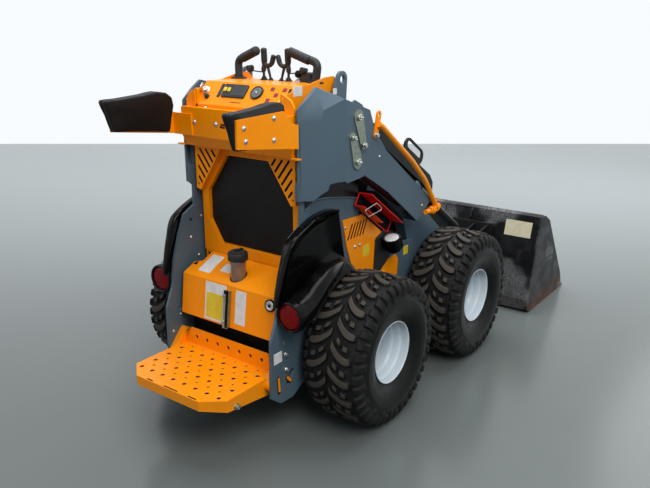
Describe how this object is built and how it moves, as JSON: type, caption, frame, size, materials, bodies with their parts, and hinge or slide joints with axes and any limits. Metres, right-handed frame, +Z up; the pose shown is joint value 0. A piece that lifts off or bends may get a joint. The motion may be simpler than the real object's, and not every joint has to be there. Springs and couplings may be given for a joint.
{
  "type": "stand-on compact wheel loader",
  "caption": "Compact stand-on wheel loader: amber body on wide tyres, grey towers and lifting boom, bucket in front, folding foot platform behind.",
  "frame": {"origin": "on the ground, at the middle of the machine's own outline seen from above", "axes": "+X forwards to the bucket, +Y to the machine's left, +Z up"},
  "size_m": [2.56, 1.112, 1.4032],
  "materials": {
    "grey_paint": "semi-gloss slate grey paint",
    "amber_paint": "semi-gloss amber paint",
    "black_paint": "semi-gloss black paint",
    "red_paint": "gloss red paint",
    "silver_paint": "silver-white wheel paint",
    "worn_bucket": "black paint scuffed to grey steel, rust at the edge",
    "zinc_steel": "zinc-plated steel",
    "chrome_rod": "polished hard chrome",
    "cast_engine": "plain cast block",
    "black_rubber": "moulded black grip rubber",
    "black_plastic": "glossy black plastic",
    "pad_vinyl": "matt black vinyl",
    "red_lens": "red moulded lens",
    "tyre_rubber": "black tyre rubber"
  },
  "bodies": {
    "chassis": {"side_plate_left": "grey_paint", "side_plate_right": "grey_paint", "tower_left": "grey_paint", "tower_right": "grey_paint", "lift_eyes": "grey_paint", "main_frame": "black_paint", "pivot_pins": "zinc_steel", "engine_block": "cast_engine", "engine_cover": "black_paint", "console": "amber_paint", "cross_beam": "amber_paint", "grab_handles": "black_rubber", "control_levers": "black_rubber", "pad_brackets": "amber_paint", "side_pad_left": "pad_vinyl", "side_pad_right": "pad_vinyl", "knee_panel": "pad_vinyl", "rear_shroud": "amber_paint", "tank_cover": "amber_paint", "fuel_tank": "black_plastic", "tank_latch": "zinc_steel", "fender_left": "black_plastic", "fender_right": "black_plastic", "tail_lights": "red_lens", "side_vents": "amber_paint", "work_lights": "black_plastic", "wheel_motors": "black_paint"},
    "hood": {"hood": "black_paint"},
    "platform": {"platform": "amber_paint"},
    "boom": {"boom_frame": "grey_paint", "hose_guards": "amber_paint", "safety_lock": "red_paint"},
    "lift_barrels": {"lift_cylinder_barrels": "black_paint"},
    "lift_rods": {"lift_cylinder_rods": "chrome_rod"},
    "tilt_barrels": {"tilt_cylinder_barrels": "black_paint"},
    "tilt_rods": {"tilt_cylinder_rods": "chrome_rod"},
    "tool": {"quick_hitch": "black_paint", "bucket": "worn_bucket"},
    "wheel_front_left": {"rim_front_left": "silver_paint", "tyre_front_left": "tyre_rubber"},
    "wheel_front_right": {"rim_front_right": "silver_paint", "tyre_front_right": "tyre_rubber"},
    "wheel_rear_left": {"rim_rear_left": "silver_paint", "tyre_rear_left": "tyre_rubber"},
    "wheel_rear_right": {"rim_rear_right": "silver_paint", "tyre_rear_right": "tyre_rubber"}
  },
  "joints": [
    {"name": "boom_lift", "type": "hinge", "parent": "chassis", "child": "boom", "pos_m": [-0.631, 0, 1.168], "axis": [0, -1, 0], "range_deg": [0, 75]},
    {"name": "lift_barrel_swing", "type": "hinge", "parent": "chassis", "child": "lift_barrels", "pos_m": [-0.635, 0, 1.009], "axis": [0, -1, 0], "range_deg": [0, 73.3]},
    {"name": "lift_rod_slide", "type": "slide", "parent": "lift_barrels", "child": "lift_rods", "axis": [0.8629, 0, -0.5053], "range_m": [0, 0.193]},
    {"name": "bucket_tilt", "type": "hinge", "parent": "boom", "child": "tool", "pos_m": [0.57, 0, 0.21], "axis": [0, -1, 0], "range_deg": [-60, 30]},
    {"name": "tilt_barrel_swing", "type": "hinge", "parent": "boom", "child": "tilt_barrels", "pos_m": [0.02, 0, 0.785], "axis": [0, -1, 0], "range_deg": [-1, 1.5]},
    {"name": "tilt_rod_slide", "type": "slide", "parent": "tilt_barrels", "child": "tilt_rods", "axis": [0.8331, 0, -0.5531], "range_m": [-0.09, 0.18]},
    {"name": "hood_lid", "type": "hinge", "parent": "chassis", "child": "hood", "pos_m": [-0.45, 0, 1.114], "axis": [0, -1, 0], "range_deg": [0, 55]},
    {"name": "platform_fold", "type": "hinge", "parent": "chassis", "child": "platform", "pos_m": [-1.007, 0, 0.236], "axis": [0, 1, 0], "range_deg": [0, 85]},
    {"name": "wheel_spin_front_left", "type": "hinge", "parent": "chassis", "child": "wheel_front_left", "pos_m": [0.117, 0.423, 0.292], "axis": [0, 1, 0], "continuous": true},
    {"name": "wheel_spin_front_right", "type": "hinge", "parent": "chassis", "child": "wheel_front_right", "pos_m": [0.117, -0.423, 0.292], "axis": [0, 1, 0], "continuous": true},
    {"name": "wheel_spin_rear_left", "type": "hinge", "parent": "chassis", "child": "wheel_rear_left", "pos_m": [-0.617, 0.423, 0.292], "axis": [0, 1, 0], "continuous": true},
    {"name": "wheel_spin_rear_right", "type": "hinge", "parent": "chassis", "child": "wheel_rear_right", "pos_m": [-0.617, -0.423, 0.292], "axis": [0, 1, 0], "continuous": true}
  ],
  "couplings": [
    {"joint": "lift_barrel_swing", "follows": "boom_lift", "ratio": 0.97069},
    {"joint": "lift_rod_slide", "follows": "boom_lift", "m_per_rad": 0.1467},
    {"joint": "tilt_barrel_swing", "follows": "bucket_tilt", "ratio": -0.02},
    {"joint": "tilt_rod_slide", "follows": "bucket_tilt", "m_per_rad": -0.16213}
  ]
}
